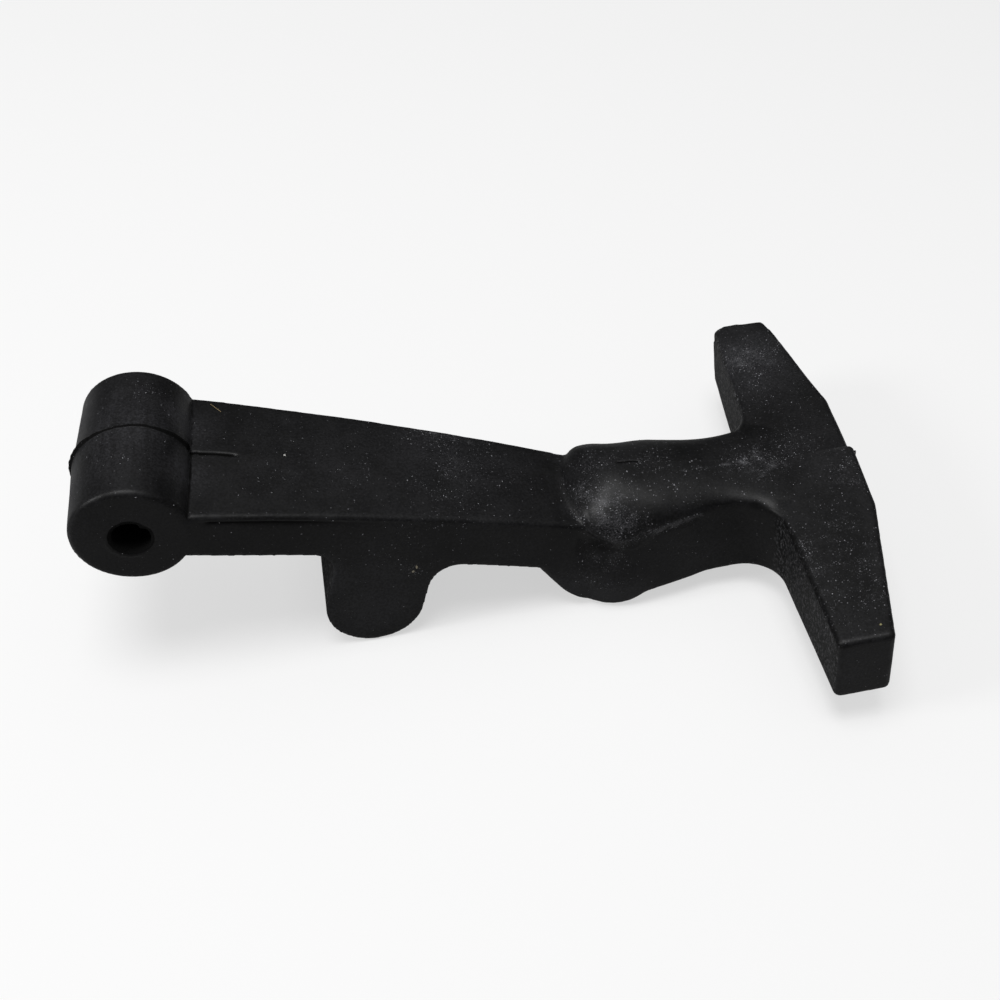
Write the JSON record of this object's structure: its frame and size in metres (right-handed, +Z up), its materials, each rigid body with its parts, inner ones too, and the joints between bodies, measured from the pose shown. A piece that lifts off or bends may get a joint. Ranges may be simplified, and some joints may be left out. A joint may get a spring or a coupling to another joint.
{
  "type": "rubber t draw latch",
  "caption": "One-piece rubber draw latch strap: a cross-bored barrel, a tapering strap with a lug and a heel beneath, and a domed neck ending in a T-shaped pull handle.",
  "frame": {"origin": "centre of the hinge bore in the barrel, on the mould's parting plane", "axes": "+Y along the hinge bore, +X from the barrel to the T handle, +Z up with the part lying on its lug and its heel"},
  "size_m": [0.1346, 0.0822, 0.0435],
  "materials": {
    "rubber": "satin moulded black rubber with a light grey bloom, dust specks and faint scuffs"
  },
  "bodies": {
    "root": {"t_handle_strap": "rubber"}
  },
  "joints": []
}
